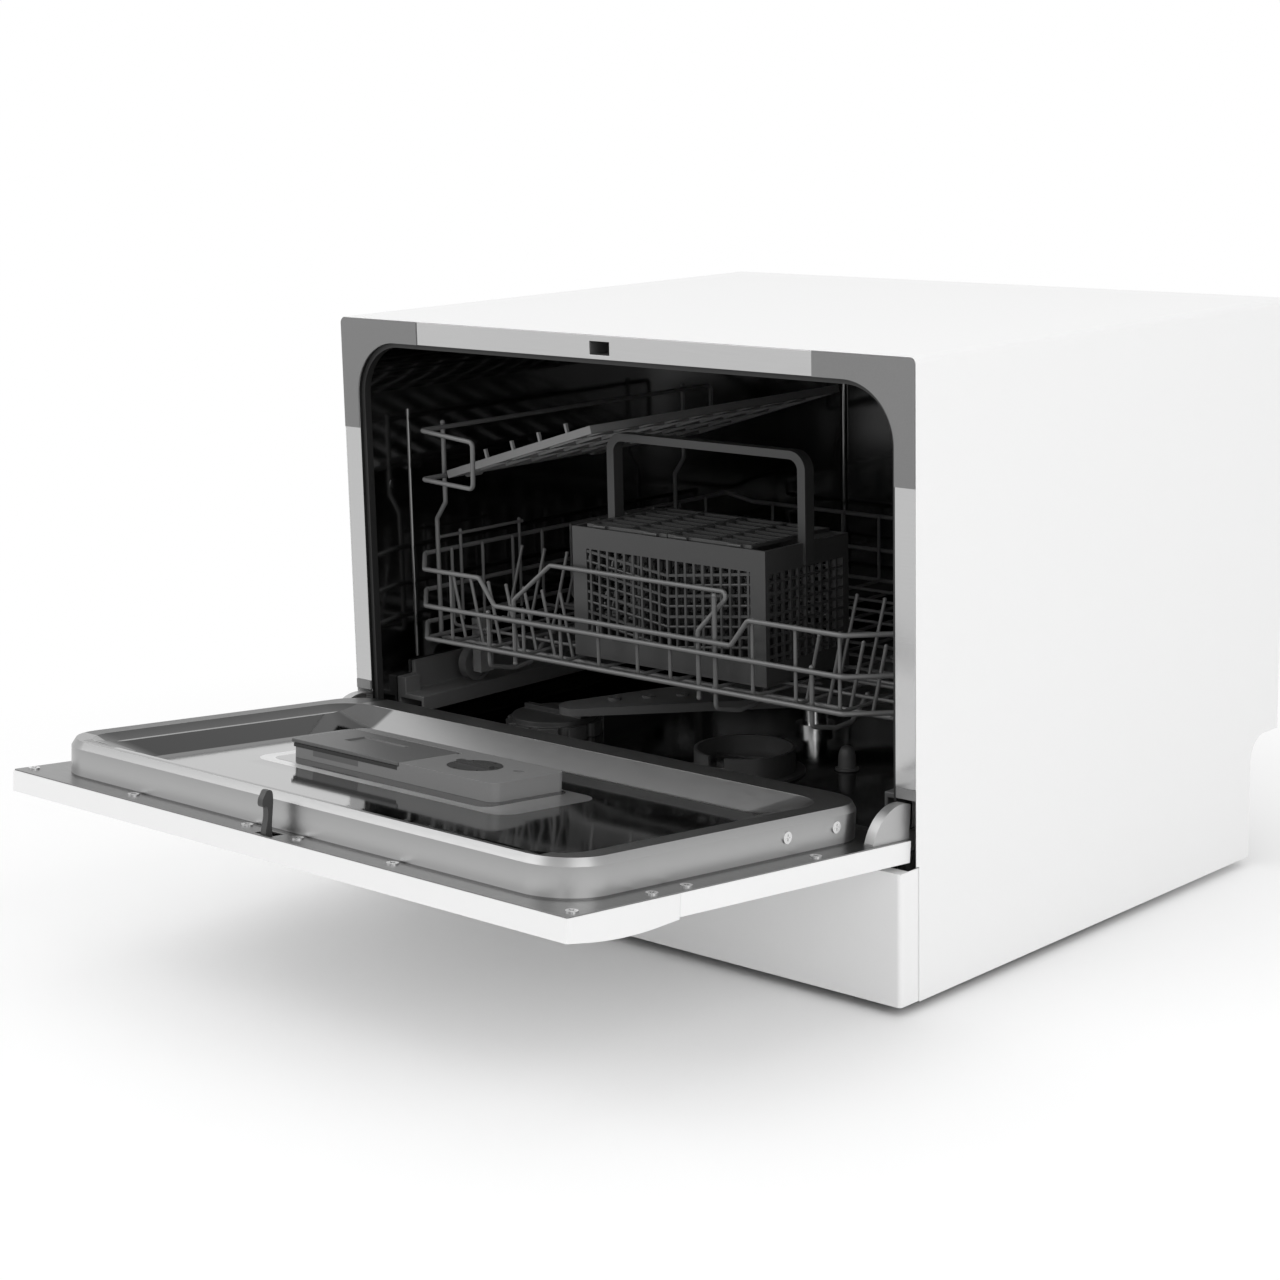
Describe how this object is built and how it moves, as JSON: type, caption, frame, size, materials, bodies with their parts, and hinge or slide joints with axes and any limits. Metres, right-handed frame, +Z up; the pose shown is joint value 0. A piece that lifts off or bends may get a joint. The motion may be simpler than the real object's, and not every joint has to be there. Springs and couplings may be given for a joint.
{
  "type": "countertop dishwasher",
  "caption": "Compact box-shaped countertop dishwasher with a drop-down front door, a wheeled wire rack, cutlery basket, spray arm and tub.",
  "frame": {"origin": "on the table under the middle of the machine's bounding box, with the door open as it rests", "axes": "+X to the right seen from the front, +Y to the back, +Z up"},
  "size_m": [0.55, 0.798, 0.438],
  "materials": {
    "white_paint": "satin",
    "white_plastic": "satin",
    "brushed_frame": "brushed",
    "tub_steel": "bright",
    "galvanised": "dull",
    "bright_metal": "polished",
    "grey_plastic": "matte",
    "light_grey_plastic": "matte",
    "dark_plastic": "matte",
    "black_gloss": "gloss",
    "coated_wire": "nylon coated",
    "seal_rubber": "matte",
    "board": "matte"
  },
  "bodies": {
    "cabinet": {"casing": "white_paint", "rear_panel": "galvanised", "service_panel": "grey_plastic", "base_tray": "grey_plastic", "kick_plate": "white_paint", "feet": "seal_rubber", "front_frame": "brushed_frame", "corner_trim_left": "grey_plastic", "corner_trim_right": "grey_plastic", "flange_end_caps": "grey_plastic", "tub": "tub_steel", "door_seal": "seal_rubber", "latch_catch": "dark_plastic", "wheel_rail_left": "light_grey_plastic", "wheel_rail_right": "light_grey_plastic", "hinge_bracket_left": "galvanised", "hinge_bracket_right": "galvanised", "sump": "grey_plastic", "spray_riser": "bright_metal", "heater": "bright_metal", "wash_pump": "dark_plastic", "drain_pump": "dark_plastic", "inlet_valve": "light_grey_plastic", "drain_spigot": "grey_plastic", "cable_gland": "dark_plastic"},
    "door": {"door_outer_panel": "white_paint", "control_panel": "white_plastic", "door_liner": "tub_steel", "hinge_cheek_left": "galvanised", "hinge_cheek_right": "galvanised", "flange_screws": "bright_metal", "control_board": "board", "display_window": "black_gloss", "dispenser_body": "grey_plastic"},
    "power_button": {"power_button": "light_grey_plastic"},
    "program_button": {"program_button": "light_grey_plastic"},
    "delay_button": {"delay_button": "light_grey_plastic"},
    "start_button": {"start_button": "light_grey_plastic"},
    "release_lever": {"release_lever": "white_plastic"},
    "latch_hook": {"latch_hook": "dark_plastic"},
    "detergent_lid": {"detergent_lid": "light_grey_plastic"},
    "rinse_aid_cap": {"rinse_aid_cap": "dark_plastic"},
    "spray_arm": {"spray_arm": "light_grey_plastic"},
    "filter": {"coarse_filter": "dark_plastic", "fine_filter": "bright_metal"},
    "salt_cap": {"salt_cap": "dark_plastic"},
    "float": {"float": "light_grey_plastic"},
    "rack": {"rack": "coated_wire", "rack_grid": "coated_wire", "shelf_bracket": "coated_wire", "rack_tines": "coated_wire", "wheel_clips": "grey_plastic", "cutlery_basket": "dark_plastic"},
    "wheel_front_left": {"wheel_front_left": "light_grey_plastic"},
    "wheel_front_right": {"wheel_front_right": "light_grey_plastic"},
    "wheel_rear_left": {"wheel_rear_left": "light_grey_plastic"},
    "wheel_rear_right": {"wheel_rear_right": "light_grey_plastic"},
    "cup_shelf": {"cup_shelf": "grey_plastic"},
    "basket_lid_left": {"basket_lid_left": "dark_plastic"},
    "basket_lid_right": {"basket_lid_right": "dark_plastic"}
  },
  "joints": [
    {"name": "door_hinge", "type": "hinge", "parent": "cabinet", "child": "door", "pos_m": [0, -0.0794, 0.113], "axis": [1, 0, 0], "range_deg": [-84.9, 0]},
    {"name": "power_press", "type": "slide", "parent": "door", "child": "power_button", "axis": [0, 0.0889, 0.996], "range_m": [0, 0.0013], "stiffness_N_per_m": 300},
    {"name": "program_press", "type": "slide", "parent": "door", "child": "program_button", "axis": [0, 0.0889, 0.996], "range_m": [0, 0.0013], "stiffness_N_per_m": 300},
    {"name": "delay_press", "type": "slide", "parent": "door", "child": "delay_button", "axis": [0, 0.0889, 0.996], "range_m": [0, 0.0013], "stiffness_N_per_m": 300},
    {"name": "start_press", "type": "slide", "parent": "door", "child": "start_button", "axis": [0, 0.0889, 0.996], "range_m": [0, 0.0013], "stiffness_N_per_m": 300},
    {"name": "lever_pull", "type": "hinge", "parent": "door", "child": "release_lever", "pos_m": [0, -0.36249, 0.13355], "axis": [-1, 0, 0], "range_deg": [0, 12], "stiffness_Nm_per_rad": 0.3},
    {"name": "hook_turn", "type": "hinge", "parent": "door", "child": "latch_hook", "pos_m": [-0.002, -0.38739, 0.14089], "axis": [-1, 0, 0], "range_deg": [0, 8.2]},
    {"name": "detergent_lid_flip", "type": "hinge", "parent": "door", "child": "detergent_lid", "pos_m": [-0.08, -0.20161, 0.15709], "axis": [-1, 0, 0], "range_deg": [0, 45]},
    {"name": "rinse_cap_turn", "type": "hinge", "parent": "door", "child": "rinse_aid_cap", "pos_m": [0.017, -0.22447, 0.15245], "axis": [0, 0.0889, 0.996], "range_deg": [0, 90]},
    {"name": "spray_arm_spin", "type": "hinge", "parent": "cabinet", "child": "spray_arm", "pos_m": [0, 0.164, 0.133], "axis": [0, 0, 1], "continuous": true},
    {"name": "filter_twist", "type": "hinge", "parent": "cabinet", "child": "filter", "pos_m": [0.04, 0.031, 0.106], "axis": [0, 0, 1], "range_deg": [0, 60]},
    {"name": "salt_cap_turn", "type": "hinge", "parent": "cabinet", "child": "salt_cap", "pos_m": [-0.16, 0.034, 0.11], "axis": [0, 0, 1], "range_deg": [0, 340]},
    {"name": "float_lift", "type": "slide", "parent": "cabinet", "child": "float", "axis": [0, 0, 1], "range_m": [0, 0.003]},
    {"name": "rack_slide", "type": "slide", "parent": "cabinet", "child": "rack", "axis": [0, -0.996, 0.0889], "range_m": [0, 0.28]},
    {"name": "wheel_front_left_roll", "type": "hinge", "parent": "rack", "child": "wheel_front_left", "pos_m": [-0.2386, 0.024, 0.1536], "axis": [1, 0, 0], "range_deg": [0, 1110]},
    {"name": "wheel_rear_left_roll", "type": "hinge", "parent": "rack", "child": "wheel_rear_left", "pos_m": [-0.2386, 0.29, 0.1536], "axis": [1, 0, 0], "range_deg": [0, 1110]},
    {"name": "wheel_front_right_roll", "type": "hinge", "parent": "rack", "child": "wheel_front_right", "pos_m": [0.2386, 0.024, 0.1536], "axis": [1, 0, 0], "range_deg": [0, 1110]},
    {"name": "wheel_rear_right_roll", "type": "hinge", "parent": "rack", "child": "wheel_rear_right", "pos_m": [0.2386, 0.29, 0.1536], "axis": [1, 0, 0], "range_deg": [0, 1110]},
    {"name": "cup_shelf_fold", "type": "hinge", "parent": "rack", "child": "cup_shelf", "pos_m": [-0.222, -0.021, 0.312], "axis": [0, 1, 0], "range_deg": [-18, 0]},
    {"name": "basket_lid_left_flip", "type": "hinge", "parent": "rack", "child": "basket_lid_left", "pos_m": [0.0155, -0.0244, 0.2894], "axis": [1, 0, 0], "range_deg": [0, 45]},
    {"name": "basket_lid_right_flip", "type": "hinge", "parent": "rack", "child": "basket_lid_right", "pos_m": [0.0155, -0.0244, 0.2894], "axis": [1, 0, 0], "range_deg": [0, 45]}
  ],
  "couplings": [
    {"joint": "hook_turn", "follows": "lever_pull", "ratio": 0.667},
    {"joint": "wheel_front_left_roll", "follows": "rack_slide", "rad_per_m": 68.493},
    {"joint": "wheel_rear_left_roll", "follows": "rack_slide", "rad_per_m": 68.493},
    {"joint": "wheel_front_right_roll", "follows": "rack_slide", "rad_per_m": 68.493},
    {"joint": "wheel_rear_right_roll", "follows": "rack_slide", "rad_per_m": 68.493}
  ]
}
